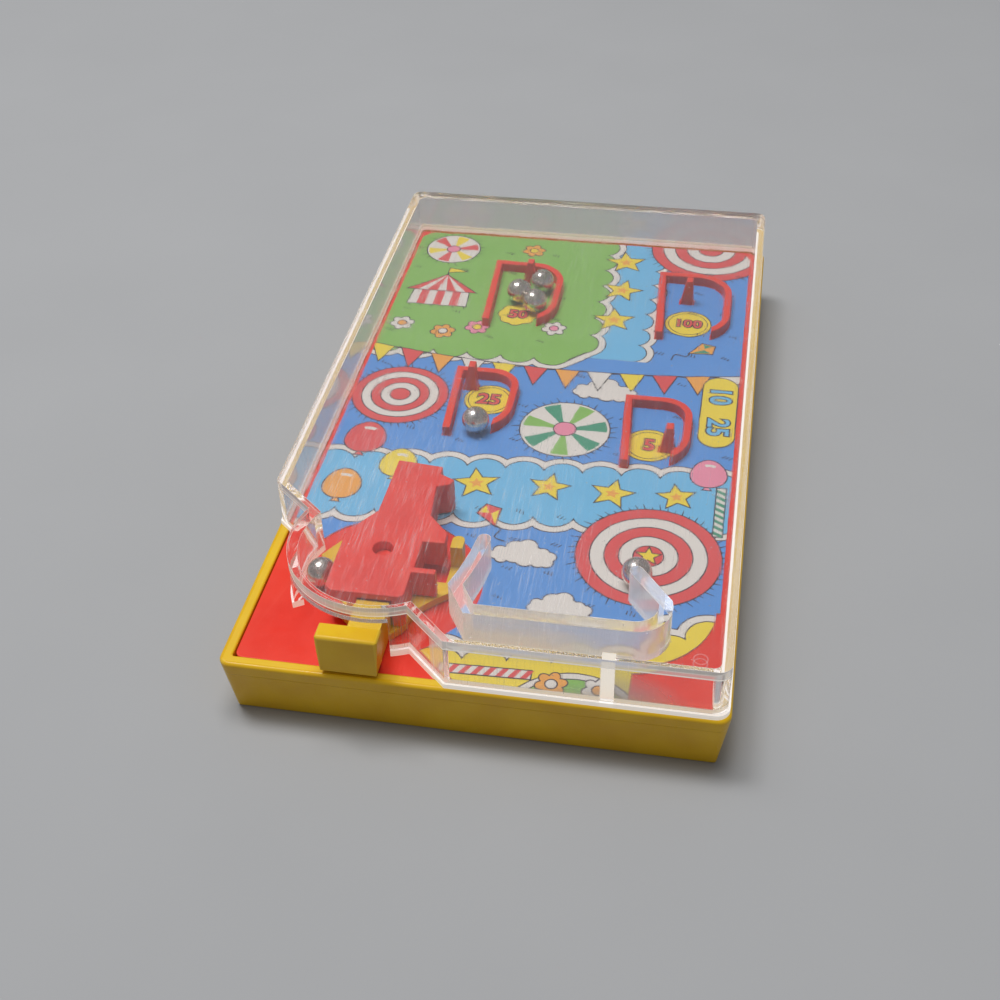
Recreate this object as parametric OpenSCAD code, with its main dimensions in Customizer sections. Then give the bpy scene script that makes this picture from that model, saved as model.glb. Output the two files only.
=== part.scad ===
// Pocket dexterity game: a shallow tray with a printed playfield under a clear cover,
// a turning ball pistol worked by an outside button, four open catchers and loose steel balls.
// Frame: +X right, +Y away from the player, +Z up, origin at the middle of the underside.

/* [Tray] */
// Width of the tray across its rim
tray_w = 71; // [68:1:90]
// Length of the tray along its rim
tray_l = 125; // [121:1:150]
// Height of the tray from the table to its rim
tray_h = 9.8; // [8.6:0.2:14]
// How far each side leans in from the rim to the underside
tray_lean = 1.5; // [0.5:0.1:1.8]
// Corner radius of the rim
tray_r = 1.9; // [1.9:0.1:5]
// Width of the rim, seen from above
rim_w = 1.9; // [1.6:0.1:2.4]
// Thickness of the tray floor
floor_t = 1.5; // [1:0.1:2.5]
// Width of the ledge that the playfield plate lies on
ledge_w = 1; // [0.6:0.1:1.6]
// Thickness of the stiffening ribs on the floor
rib_t = 1.2; // [0.8:0.1:2]
// Distance between the two cross ribs
rib_pitch = 44; // [30:1:60]

/* [Playfield plate] */
// Thickness of the plate
plate_t = 1.6; // [1.2:0.1:2]
// How far the plate lies below the rim
plate_drop = 0.3; // [0.2:0.05:0.6]
// Gap all round between the plate and the rim
plate_gap = 0.15; // [0.1:0.05:0.4]
// Corner radius of the plate
plate_r = 1.2; // [1:0.1:4]
// Thickness of the printed card
card_t = 0.25; // [0.15:0.05:0.4]
// Gap between the card and what passes through it
card_gap = 0.15; // [0.1:0.05:0.3]
// Gap between the card and the inside of the cover
card_margin = 0.7; // [0.4:0.1:1.2]

/* [Catchers] */
// Height of the catcher walls above the card
catcher_h = 1.7; // [1.4:0.1:3]
// Thickness of the catcher walls
catcher_t = 1.25; // [0.9:0.05:1.6]
// Width of the two small catchers
small_w = 11.6; // [11.6:0.1:13]
// Length of the two small catchers
small_l = 18; // [18:0.1:20]
// Width of the two large catchers
large_w = 13.9; // [13.8:0.1:16]
// Length of the two large catchers
large_l = 21; // [21:0.1:23]
// How far the left wall of a catcher leans in towards its mouth
catcher_lean = 1; // [0:0.1:1.5]
// Clear width of the mouth of the small catchers
small_mouth = 6.6; // [6.4:0.1:7]
// Clear width of the mouth of the large catchers
large_mouth = 8.6; // [6:0.1:9]
// Height of the tapered stop post in each catcher
post_h = 4.9; // [4:0.1:6.8]
// Width of a stop post at its foot
post_w = 2.5; // [1.8:0.1:2.8]
// Width of a stop post at its top
post_top_w = 1.15; // [0.8:0.05:1.8]
// Depth of a stop post
post_d = 1.7; // [1.2:0.1:2]

/* [Cover] */
// Height of the cover above the rim
cover_h = 8.7; // [8.4:0.1:12]
// Thickness of the cover's top
sheet_t = 1.5; // [1:0.1:1.7]
// Thickness of the cover's walls
wall_t = 1.4; // [1:0.1:1.7]
// How far the cover stands in from the rim's outer edge
cover_inset = 0.7; // [0.5:0.1:1]
// Corner radius of the cover
cover_r = 1.8; // [1.6:0.1:3]
// Clear width of the round bay beside the pistol, where a ball rolls
bay_lane = 5.6; // [5.5:0.1:6.5]
// Height of the lever slot above the plate
slot_h = 6.2; // [5.6:0.1:7]
// Height of the bead along the foot of the cover walls
bead_h = 0.8; // [0.4:0.1:1.2]
// How far that bead stands out
bead_out = 0.3; // [0.1:0.05:0.4]
// Thickness of the ball guide that hangs from the cover
guide_t = 1.9; // [1.2:0.1:2.2]
// Gap between the foot of the ball guide and the card
guide_gap = 1.5; // [0.5:0.1:2]
// Width of the ball lane between the guide and the front wall
lane_w = 5.1; // [4.9:0.1:6]
// Width of the ball lane between the guide and the right wall
side_lane_w = 7.1; // [6:0.1:9]

/* [Pistol and trigger] */
// Distance of the pivot from the left edge of the tray
pivot_in = 19.5; // [19.3:0.1:21]
// Distance of the pivot from the front edge of the tray
pivot_up = 20.1; // [20:0.1:20.6]
// Diameter of the pivot post
pivot_d = 2.8; // [2:0.1:3]
// Running clearance round the pivot post, on the radius
pivot_gap = 0.06; // [0.03:0.01:0.1]
// Height of the pistol's top above the plate
pistol_h = 6; // [5.8:0.1:6.6]
// Thickness of the pistol's top and sides
pistol_t = 1.1; // [0.8:0.1:1.2]
// Length of the barrel ahead of the pivot
barrel_l = 20.5; // [17:0.1:22]
// Clear width of the barrel's ball channel
bore_w = 5; // [4.8:0.1:5.3]
// Thickness of the trigger plate
trigger_t = 1.2; // [0.8:0.1:1.3]
// Width of the outside button
button_w = 8.8; // [8:0.1:10]
// Depth of the outside button
button_d = 3.1; // [2:0.1:3.2]
// Height of the outside button
button_h = 6.7; // [4:0.1:7.5]
// Narrowing of the outside button's foot on each side
button_draft = 0.4; // [0:0.1:0.6]
// Rounding of the outside button's edges
button_r = 0.6; // [0.2:0.1:0.8]
// Width of the stem between the button and the trigger
stem_w = 4.6; // [3:0.1:5]
// Travel of the trigger when the button is pressed
press = 1.4; // [1:0.1:1.6]
// Angle through which the pistol turns, in degrees
aim = 50; // [30:1:50]
// Gap under and between the sliding pieces
slide_gap = 0.15; // [0.1:0.01:0.15]
// Wire diameter of the trigger spring
wire_d = 0.35; // [0.25:0.05:0.45]
// Outer diameter of the trigger spring
spring_d = 2.6; // [2:0.1:2.8]

/* [Balls] */
// Diameter of a steel ball
ball_d = 4.5; // [4:0.1:4.5]

/* [Hidden] */
$fn = 64;

// Levels
plate_z = tray_h - plate_drop;
card_z = plate_z + card_t;
top_z = tray_h + cover_h;
sheet_z = top_z - sheet_t;
slot_z = plate_z + slot_h;

// Smallest radius of an inside corner
least_r = 0.3;

// Edges of the tray and of the cover
left_x = -tray_w / 2;
right_x = tray_w / 2;
front_y = -tray_l / 2;
back_y = tray_l / 2;
cover_left = left_x + cover_inset;
cover_right = right_x - cover_inset;
cover_front = front_y + cover_inset;
cover_back = back_y - cover_inset;

// Places on the playfield, taken from the nearest edges
pivot = [left_x + pivot_in, front_y + pivot_up];
body_left = -6.3;
bay_x = 0.6;
bay_y = -1;
bay_c = pivot + [bay_x, bay_y];
bay_r = bay_x - body_left + bay_lane + wall_t;
slot_side = 0.5;

// Catchers: left corner of the foot, width, length, post place inside, radii of the two
// bends, width of the mouth
catchers = [
    [[left_x + 19.8, back_y - 14.8 - large_l], large_w, large_l, [7.2, 16], [6.5, 7], large_mouth],
    [[left_x + 19.5, back_y - 51.6 - small_l], small_w, small_l, [3.1, 14.2], [5, 7.5], small_mouth],
    [[right_x - 19.5, back_y - 14.7 - large_l], large_w, large_l, [5.7, 13.3], [6.5, 7], large_mouth],
    [[right_x - 21.6, back_y - 55.9 - small_l], small_w, small_l, [8, 5.7], [5, 7.5], small_mouth]
];

// Balls: which catcher holds them, and their place inside it
back_balls = [[10.1, 13.4], [6.4, 9.3], [9.8, 6.2]];
left_ball = [6.3, 1.9];
guide_ball = [-5, 16.2];
pistol_ball = [body_left - bay_lane * 0.446, -2.5];
ball_on_card = card_z + ball_d / 2;
ball_on_plate = plate_z + ball_d / 2;

// Levels and lengths of the pistol and the trigger
trigger_z = plate_z + slide_gap;
body_z = trigger_z + trigger_t + slide_gap;
barrel_z = card_z + slide_gap;
pistol_z = plate_z + pistol_h;
bore_x = 1.1;
barrel_side = bore_w / 2 + pistol_t;
body_right = 8.6;
body_rear = -9.7;
step_x = 5.2;
boss_d = pivot_d + 2 * pivot_gap + 2 * pistol_t;
pivot_drop = 1.6;
wall_front = bay_r - bay_y;
button_back = -(wall_front + press + slide_gap);
striker_y = 3.8;
window = [5.4, -3.3];
window_l = 5.6;
port_l = ball_d + 2.1;
block_x = 0.9;
block_d = press + 2 * slide_gap;
block_h = pistol_h - pistol_t - 2 * slide_gap;
slot_head = 0.7;
stem_h = slot_h - slide_gap - slot_head;
finger_h = 4.9;
finger_x = 9.3;
finger_y = 2.6;
finger_w = 1.8;
wing_x = -10.3;
wing_y = 5.6;
arm_rear = -6.8;
striker_w = 2.8;
striker_h = 3.6;
button_left = -4.9;
block_y = body_rear - 0.1;
spring_x = body_left + pistol_t + spring_d / 2 + slide_gap;
spring_z = body_z + spring_d / 2 + 0.1;
spring_rear = -6.9;
spring_front = -2.3;
spring_turns = 6;
lug_t = 0.8;

function polar(r, a) = [r * cos(a), r * sin(a)];
function unit(v) = v / norm(v);

// Corners of the step where the cover leaves the front left corner open
bay_b = bay_c + polar(bay_r, 157);
bay_c2 = bay_c + polar(bay_r, -64);
step_a = [cover_left, bay_b[1] + 5.8];
step_d = [bay_c2[0] + 6.2, cover_front];

// Centre line of the ball guide, from its left tip round to its right tip
guide_foot = cover_front + wall_t + lane_w + guide_t / 2;
guide_right = cover_right - wall_t - side_lane_w - guide_t / 2;
guide_bend = 4.2;
guide_path = concat(
    [pivot + [14.4, 2.6], pivot + [13.9, -0.9], pivot + [13, -4.8], pivot + [12.2, -7.4],
        [pivot[0] + 14.9, guide_foot]],
    [for (a = [-90 : 7.5 : 15])
        [guide_right - guide_bend, guide_foot + guide_bend] + polar(guide_bend, a)],
    [[guide_right - 4.7, guide_foot + 11.1]]);

// Outline helpers
module rounded(x0, y0, x1, y1, r) {
    translate([x0 + r, y0]) square([x1 - x0 - 2 * r, y1 - y0]);
    translate([x0, y0 + r]) square([x1 - x0, y1 - y0 - 2 * r]);
    for (x = [x0 + r, x1 - r], y = [y0 + r, y1 - r]) translate([x, y]) circle(r);
}

// Block from the origin with rounded edges and a narrower foot: three outlines crossing at right angles
module drafted_block(w, d, h, r, draft) {
    intersection() {
        linear_extrude(h) rounded(0, 0, w, d, r);
        translate([0, d, 0]) rotate([90, 0, 0]) linear_extrude(d) hull() {
            for (x = [r, w - r]) translate([x, h - r]) circle(r);
            for (x = [r + draft, w - r - draft]) translate([x, r]) circle(r);
        }
        rotate([90, 0, 90]) linear_extrude(w) rounded(0, 0, d, h, r);
    }
}

// Block with leaning sides: cones at the corners and two crossing wedges between them
module leaning_block(w, l, h, r, lean) {
    for (x = [-1, 1], y = [-1, 1])
        translate([x * (w / 2 - r), y * (l / 2 - r), 0]) cylinder(h = h, r1 = r - lean, r2 = r);
    leaning_wedge(w, l - 2 * r, h, lean);
    rotate(90) leaning_wedge(l, w - 2 * r, h, lean);
}

module leaning_wedge(w, l, h, lean) {
    translate([0, l / 2, 0]) rotate([90, 0, 0]) linear_extrude(l)
        polygon([[-w / 2 + lean, 0], [w / 2 - lean, 0], [w / 2, h], [-w / 2, h]]);
}

module tray() {
    ledge_z = plate_z - plate_t;
    inner_w = tray_w - 2 * rim_w;
    inner_l = tray_l - 2 * rim_w;
    inner_r = max(least_r, tray_r - rim_w);
    hollow = [inner_w - 2 * ledge_w, inner_l - 2 * ledge_w];
    color("gold") {
        difference() {
            leaning_block(tray_w, tray_l, tray_h, tray_r, tray_lean);
            translate([0, 0, ledge_z]) linear_extrude(tray_h)
                rounded(-inner_w / 2, -inner_l / 2, inner_w / 2, inner_l / 2, inner_r);
            translate([0, 0, floor_t]) linear_extrude(tray_h)
                square([hollow[0] - 2 * tray_lean, hollow[1] - 2 * tray_lean], center = true);
        }
        for (y = [-1, 1])
            translate([0, y * rib_pitch / 2, (floor_t + ledge_z) / 2])
                cube([hollow[0] - tray_lean, rib_t, ledge_z - floor_t], center = true);
        translate([0, 0, (floor_t + ledge_z) / 2])
            cube([rib_t, hollow[1] - tray_lean, ledge_z - floor_t], center = true);
    }
}

// Outline of a catcher, drawn in by g on every side
module catcher_outline(w, l, radii, g) {
    top_r = radii[0] - g;
    foot_r = radii[1] - g;
    bend = w - radii[1];
    intersection() {
        polygon([[g, l - g], [w - g, l - g], [w - g, g], [catcher_lean + g, g]]);
        union() {
            translate([g, g]) square([bend - g, l - 2 * g]);
            translate([g, radii[1]]) square([w - radii[0] - g, l - radii[1] - g]);
            translate([g, radii[1]]) square([w - 2 * g, l - radii[0] - radii[1]]);
            translate([bend, radii[1]]) circle(foot_r);
            translate([w - radii[0], l - radii[0]]) circle(top_r);
        }
    }
}

// Wall of a catcher, made wider by g on both faces
module catcher_wall(c, g = 0) {
    translate(c[0]) difference() {
        catcher_outline(c[1], c[2], c[4], -g);
        catcher_outline(c[1], c[2], c[4], catcher_t + g);
        translate([catcher_lean + catcher_t + g, -2]) square([c[5] - 2 * g, 2 + c[4][1]]);
    }
}

module stop_post(c) {
    translate([c[0][0] + c[3][0], c[0][1] + c[3][1] + post_d / 2, plate_z])
        rotate([90, 0, 0]) linear_extrude(post_d)
            polygon([[-post_w / 2, 0], [post_w / 2, 0], [post_w / 2 - 0.3, post_h + card_t],
                [post_w / 2 - 0.3 - post_top_w, post_h + card_t]]);
}

module playfield_plate() {
    g = rim_w + plate_gap;
    color("tomato") {
        translate([0, 0, plate_z - plate_t]) linear_extrude(plate_t)
            rounded(left_x + g, front_y + g, right_x - g, back_y - g, plate_r);
        translate([0, 0, plate_z]) linear_extrude(card_t + catcher_h)
            for (c = catchers) catcher_wall(c);
        for (c = catchers) stop_post(c);
        translate([pivot[0], pivot[1], plate_z]) cylinder(h = pistol_h - pivot_drop, d = pivot_d);
    }
}

// Ground plan of the cover, drawn in by g on every side
module cover_plan(g) {
    n1 = unit([bay_b[1] - step_a[1], step_a[0] - bay_b[0]]) * -g;
    n2 = unit([step_d[1] - bay_c2[1], bay_c2[0] - step_d[0]]) * -g;
    d1 = unit(step_a - bay_b) * 12;
    d2 = unit(step_d - bay_c2) * 12;
    difference() {
        rounded(cover_left + g, cover_front + g, cover_right - g, cover_back - g, cover_r - g / 2);
        polygon([bay_b + n1 + d1, bay_b + n1, bay_c2 + n2, bay_c2 + n2 + d2,
            [left_x - 9, front_y - 9]]);
    }
    translate(bay_c) circle(bay_r - g);
}

// Area of the open corner and the pistol's round seat, which the card leaves bare
module card_cutouts() {
    for (c = catchers) {
        catcher_wall(c, card_gap);
        translate(c[0] + c[3])
            square([post_w + 2 * card_gap, post_d + 2 * card_gap], center = true);
    }
    translate(pivot) circle(13.4);
    translate(bay_c) circle(bay_r);
    // Round corner that leaves the plate bare at the front right
    difference() {
        translate([right_x - 14, front_y - 1]) square([15, 21]);
        translate([right_x - 15.8, front_y + 20.2]) circle(12.5);
    }
}

module printed_card() {
    color("lightskyblue") translate([0, 0, plate_z]) linear_extrude(card_t) difference() {
        intersection() {
            cover_plan(wall_t + card_margin);
            rounded(cover_left + wall_t + card_margin, cover_front + wall_t + card_margin,
                cover_right - wall_t - card_margin, cover_back - wall_t - card_margin, 3);
        }
        card_cutouts();
    }
}

// Slice of the round bay wall that the lever's stem sweeps through
module slot_sweep() {
    half = stem_w / 2 + slot_side;
    a0 = -90 + asin((block_x + half) / (wall_front - wall_t));
    a1 = -90 - aim - asin((half - block_x) / (wall_front - wall_t));
    reach = 30;
    intersection() {
        translate(bay_c) circle(bay_r + 1);
        polygon(concat([pivot], [for (i = [0 : 6]) pivot + polar(reach, a0 + (a1 - a0) * i / 6)]));
    }
}

// Wall of even thickness t along a path, with round ends
function heading(path, i) = unit(path[min(i + 1, len(path) - 1)] - path[min(i, len(path) - 2)]);
function across(v) = [-v[1], v[0]];
function edge(path, i, d) = let (
    out = heading(path, i),
    n = across(unit(heading(path, max(i - 1, 0)) + out))) path[i] + n * d / (n * across(out));
function cap(place, v, r) = [for (a = [60 : -30 : -60])
    place + r * cos(a) * v + r * sin(a) * across(v)];

module rail(path, t) {
    last = len(path) - 1;
    polygon(concat(
        [for (i = [0 : last]) edge(path, i, t / 2)],
        cap(path[last], heading(path, last), t / 2),
        [for (i = [last : -1 : 0]) edge(path, i, -t / 2)],
        cap(path[0], -heading(path, 0), t / 2)));
}

module clear_cover() {
    plate_in = rim_w + plate_gap + 0.1;
    color("lightcyan", 0.4) {
        difference() {
            union() {
                translate([0, 0, tray_h]) linear_extrude(cover_h) cover_plan(0);
                // Bead along the foot of the walls
                translate([0, 0, tray_h]) linear_extrude(bead_h) cover_plan(-bead_out);
                // The bay walls stand on the plate, below the rim
                translate([0, 0, plate_z]) linear_extrude(plate_drop + bead_h) intersection() {
                    cover_plan(-bead_out);
                    translate([left_x + plate_in, front_y + plate_in])
                        square([wall_front * 2 + 8, wall_front * 2 + 2]);
                }
            }
            translate([0, 0, plate_z - 1]) linear_extrude(sheet_z - plate_z + 1) cover_plan(wall_t);
            translate([0, 0, plate_z - 1]) linear_extrude(slot_h + 1) slot_sweep();
        }
        translate([0, 0, card_z + guide_gap])
            linear_extrude(sheet_z - card_z - guide_gap + sheet_t / 2) rail(guide_path, guide_t);
        // Locating rib inside the front wall
        translate([right_x - 17.6, cover_front + wall_t / 2, card_z + 0.2])
            cube([1.8, wall_t, sheet_z - card_z]);
    }
}

// Ground plan of the pistol's body and barrel, in the pivot's frame
module pistol_plan() {
    polygon([[bore_x - barrel_side, barrel_l], [bore_x + barrel_side, barrel_l - 0.7],
        [bore_x + barrel_side, barrel_l - 2.4], [bore_x + barrel_side + 2.4, barrel_l - 3.6],
        [bore_x + barrel_side + 1.9, barrel_l - 4.8], [bore_x + barrel_side, barrel_l - 5.5],
        [bore_x + barrel_side + 0.6, 8.2], [body_right, 4.6], [body_right, window[1] - pistol_t],
        [step_x, window[1] - pistol_t], [step_x, body_rear + 0.6], [step_x - 0.6, body_rear],
        [body_left + 1, body_rear], [body_left, body_rear + 1],
        [body_left, 2.8], [bore_x - barrel_side - 0.2, 8.2]]);
}

module pistol() {
    inside = pistol_z - pistol_t;
    bore_z = plate_z + ball_d + 0.3;
    color("tomato") translate([pivot[0], pivot[1], 0]) difference() {
        union() {
            translate([0, 0, body_z]) linear_extrude(pistol_z - body_z) pistol_plan();
            // Barrel skirts reach down to the card
            translate([0, 0, barrel_z]) linear_extrude(pistol_z - barrel_z) intersection() {
                pistol_plan();
                translate([-9, 7]) square([20, barrel_l]);
            }
        }
        // Ball channel and the port that the ball rolls in through
        translate([bore_x - bore_w / 2, boss_d / 2, 0]) cube([bore_w, barrel_l, bore_z]);
        translate([bore_x, striker_y, 0]) cube([12, port_l, bore_z]);
        // Window beside the boss
        translate([window[0], window[1], 0]) cube([body_right, window_l, pistol_z]);
        // Opening in the rear wall that the trigger block slides into
        translate([block_x - stem_w / 2 - slide_gap, body_rear - 1, 0])
            cube([stem_w + 2 * slide_gap, press + slide_gap + 1, inside]);
        // Pivot bore and the hollow around the spring
        translate([0, 0, plate_z]) cylinder(h = pistol_h + 1, d = pivot_d + 2 * pivot_gap);
        translate([body_left + pistol_t, spring_rear - lug_t - slide_gap, 0])
            cube([spring_d + 0.8, spring_front - spring_rear + lug_t + slide_gap, inside]);
        // Hollow behind the boss
        translate([-0.6, body_rear + press + pistol_t + slide_gap, 0])
            cube([step_x - pistol_t + 0.6, -body_rear - press - pistol_t - boss_d / 2 - slide_gap, inside]);
    }
}

module trigger() {
    slot = pivot_d / 2 + 0.2;
    color("gold") translate([pivot[0], pivot[1], 0]) {
        // Sliding plate with a slot round the pivot post
        translate([0, 0, trigger_z]) linear_extrude(trigger_t) difference() {
            polygon([[block_x - stem_w / 2, block_y - block_d],
                [block_x + stem_w / 2, block_y - block_d],
                [step_x + 1.2, arm_rear], [body_right - 0.2, arm_rear + 2.2],
                [finger_x + 1.1, -2.8], [finger_x + finger_w, 0],
                [finger_x + finger_w, finger_y + finger_w], [finger_x, finger_y + finger_w],
                [finger_x, -1], [5.6, -1], [3.2, striker_y - 0.1], [-1.4, striker_y - 0.1],
                [wing_x + 6.3, wing_y - 2.6], [wing_x + 3.1, wing_y + 1.6], [wing_x, wing_y - 3.4],
                [wing_x + 1.6, wing_y - 5.4], [body_left - 0.2, wing_y - 6],
                [body_left - 0.2, arm_rear]]);
            translate([-slot, -slot - press]) square([2 * slot, press + slot]);
            circle(slot);
            translate([0, -press]) circle(slot);
        }
        // Striker ahead of the boss
        translate([bore_x - striker_w / 2, boss_d / 2 + 0.1, trigger_z])
            cube([striker_w, striker_y - boss_d / 2 - 0.1, striker_h]);
        // Finger at the right end of the plate
        translate([finger_x, finger_y, trigger_z]) cube([finger_w, finger_w, finger_h]);
        translate([finger_x + finger_w / 2, finger_y + finger_w, trigger_z])
            cylinder(h = finger_h, d = finger_w);
        // Lug that the spring pushes on
        translate([spring_x - spring_d / 2, spring_rear - lug_t, trigger_z])
            cube([spring_d, lug_t, spring_z - trigger_z + spring_d / 2]);
        // Block that slides under the pistol, stem through the slot, and the button outside
        translate([block_x - stem_w / 2, block_y - block_d, trigger_z])
            cube([stem_w, block_d, block_h]);
        translate([block_x - stem_w / 2, button_back, trigger_z])
            cube([stem_w, block_y - block_d - button_back, stem_h]);
        translate([button_left, button_back - button_d, tray_h + 0.2])
            drafted_block(button_w, button_d, button_h, button_r, button_draft);
    }
}

// Compression spring between the lug and the pistol
module trigger_spring() {
    coil_r = (spring_d - wire_d) / 2;
    sides = 6;
    steps = 12 * spring_turns;
    span = spring_front - spring_rear - wire_d - 0.1;
    pitch = span / steps;
    ring = [for (s = [0 : sides - 1]) polar(wire_d / 2, s * 360 / sides)];
    points = [for (i = [0 : steps], p = ring) let (a = i * 30)
        [(coil_r + p[0]) * cos(a), pitch * i + p[1], (coil_r + p[0]) * sin(a)]];
    faces = concat(
        [[for (s = [0 : sides - 1]) s]],
        [for (i = [0 : steps - 1], s = [0 : sides - 1], half = [0, 1]) let (
            b = i * sides + s, c = i * sides + (s + 1) % sides)
            half == 0 ? [b, b + sides, c + sides] : [b, c + sides, c]],
        [[for (s = [sides - 1 : -1 : 0]) steps * sides + s]]);
    color("silver")
        translate([pivot[0] + spring_x, pivot[1] + spring_rear + wire_d / 2 + 0.05, spring_z])
            polyhedron(points, faces);
}

module ball(place, z) {
    color("lightgray") translate([place[0], place[1], z]) sphere(d = ball_d);
}

module ball_back_1() { ball(catchers[0][0] + back_balls[0], ball_on_card); }
module ball_back_2() { ball(catchers[0][0] + back_balls[1], ball_on_card); }
module ball_back_3() { ball(catchers[0][0] + back_balls[2], ball_on_card); }
module ball_left() { ball(catchers[1][0] + left_ball, ball_on_card); }
module ball_pistol() { ball(pivot + pistol_ball, ball_on_plate); }
module ball_guide() { ball([guide_right, guide_foot] + guide_ball, ball_on_card); }

tray();
playfield_plate();
printed_card();
clear_cover();
pistol();
trigger();
trigger_spring();
ball_back_1();
ball_back_2();
ball_back_3();
ball_left();
ball_pistol();
ball_guide();
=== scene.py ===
# Pocket dexterity game: finishes, printed playfield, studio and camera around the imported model.
import math
import bmesh
import bpy
from mathutils import Matrix, Vector


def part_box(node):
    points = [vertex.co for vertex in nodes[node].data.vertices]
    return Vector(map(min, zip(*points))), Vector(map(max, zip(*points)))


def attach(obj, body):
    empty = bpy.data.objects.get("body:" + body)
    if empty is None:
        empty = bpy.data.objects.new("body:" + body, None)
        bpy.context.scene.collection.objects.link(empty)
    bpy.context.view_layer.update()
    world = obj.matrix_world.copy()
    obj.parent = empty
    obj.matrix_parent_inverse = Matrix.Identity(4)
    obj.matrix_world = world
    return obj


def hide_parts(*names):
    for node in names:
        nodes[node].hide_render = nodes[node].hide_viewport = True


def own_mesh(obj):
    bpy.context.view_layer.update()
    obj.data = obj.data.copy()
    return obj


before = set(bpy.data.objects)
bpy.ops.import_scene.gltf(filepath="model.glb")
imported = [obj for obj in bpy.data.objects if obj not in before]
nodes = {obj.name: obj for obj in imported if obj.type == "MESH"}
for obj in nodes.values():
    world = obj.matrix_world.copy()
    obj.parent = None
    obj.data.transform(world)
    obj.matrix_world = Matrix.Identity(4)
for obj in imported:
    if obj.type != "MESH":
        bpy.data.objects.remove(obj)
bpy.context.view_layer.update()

mm = 0.001
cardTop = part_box("printed_card")[1].z / mm
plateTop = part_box("printed_card")[0].z / mm
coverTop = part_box("clear_cover")[1].z / mm


def srgb(red, green, blue):
    # 0 to 255 as seen on a screen, to the linear values that the shaders take
    def linear(value):
        value = value / 255
        return value / 12.92 if value <= 0.04045 else ((value + 0.055) / 1.055) ** 2.4
    return (linear(red), linear(green), linear(blue), 1.0)


# Shader helpers

def startMaterial(name):
    material = bpy.data.materials.new(name)
    material.use_nodes = True
    tree = material.node_tree
    return material, tree, tree.nodes["Principled BSDF"]


def objectPlace(tree):
    # object coordinates, the same at every pose
    return tree.nodes.new("ShaderNodeTexCoord").outputs["Object"]


def splitAxes(tree, vector):
    axes = tree.nodes.new("ShaderNodeSeparateXYZ")
    tree.links.new(vector, axes.inputs[0])
    return axes.outputs


def noise(tree, size, detail, rough=0.5):
    # cloudy noise whose blotches are about size mm across
    texture = tree.nodes.new("ShaderNodeTexNoise")
    texture.inputs["Scale"].default_value = 1 / (size * mm)
    texture.inputs["Detail"].default_value = detail
    texture.inputs["Roughness"].default_value = rough
    tree.links.new(objectPlace(tree), texture.inputs["Vector"])
    return texture.outputs[0]


def spread(tree, source, low, high, toLow=0.0, toHigh=1.0):
    # the range from low to high stretched out to the values that a socket needs
    rangeNode = tree.nodes.new("ShaderNodeMapRange")
    rangeNode.inputs["From Min"].default_value = low
    rangeNode.inputs["From Max"].default_value = high
    rangeNode.inputs["To Min"].default_value = toLow
    rangeNode.inputs["To Max"].default_value = toHigh
    tree.links.new(source, rangeNode.inputs["Value"])
    return rangeNode.outputs["Result"]


def blendColours(tree, factor, first, second):
    mixer = tree.nodes.new("ShaderNodeMix")
    mixer.data_type = "RGBA"
    tree.links.new(factor, mixer.inputs["Factor"])
    for socket, colour in ((mixer.inputs["A"], first), (mixer.inputs["B"], second)):
        if isinstance(colour, tuple):
            socket.default_value = colour
        else:
            tree.links.new(colour, socket)
    return mixer.outputs["Result"]


def blendShaders(tree, factor, first, second):
    mixer = tree.nodes.new("ShaderNodeMixShader")
    for socket, source in zip(mixer.inputs, (factor, first, second)):
        tree.links.new(source, socket)
    return mixer.outputs[0]


def combine(tree, first, second, operation="ADD"):
    sums = tree.nodes.new("ShaderNodeMath")
    sums.operation = operation
    for socket, value in ((sums.inputs[0], first), (sums.inputs[1], second)):
        if isinstance(value, (int, float)):
            socket.default_value = value
        else:
            tree.links.new(value, socket)
    return sums.outputs[0]


def times(tree, first, second):
    return combine(tree, first, second, "MULTIPLY")


def raiseFrom(tree, shader, height, depth):
    # bump of the given depth in mm
    bump = tree.nodes.new("ShaderNodeBump")
    bump.inputs["Strength"].default_value = 1.0
    bump.inputs["Distance"].default_value = depth * mm
    tree.links.new(height, bump.inputs["Height"])
    tree.links.new(bump.outputs["Normal"], shader.inputs["Normal"])


def scratches(tree, size, angle, share, length):
    # thin straight marks: noise stretched length times and cut off near its top
    soft = 0.06
    mapping = tree.nodes.new("ShaderNodeMapping")
    mapping.inputs["Rotation"].default_value = (0, 0, math.radians(angle))
    mapping.inputs["Scale"].default_value = (1, 1 / length, 1 / length)
    texture = tree.nodes.new("ShaderNodeTexNoise")
    texture.inputs["Scale"].default_value = 1 / (size * mm)
    texture.inputs["Detail"].default_value = 1.0
    tree.links.new(objectPlace(tree), mapping.inputs["Vector"])
    tree.links.new(mapping.outputs["Vector"], texture.inputs["Vector"])
    return spread(tree, texture.outputs[0], 1 - share, 1 - share + soft)


def sharpEdges(tree, edge):
    # mask where the surface turns a corner sharper than edge: light rubbing on the moulded plastic, painted
    # highlights on the clear cover's edges
    soft = 0.08
    geometry = tree.nodes.new("ShaderNodeNewGeometry")
    return spread(tree, geometry.outputs["Pointiness"], edge, edge + soft)


def between(tree, source, low, high, soft):
    # 1 from low to high, fading out over soft on both sides
    rising = spread(tree, source, low - soft, low)
    falling = spread(tree, source, high, high + soft, 1.0, 0.0)
    return times(tree, rising, falling)


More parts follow.
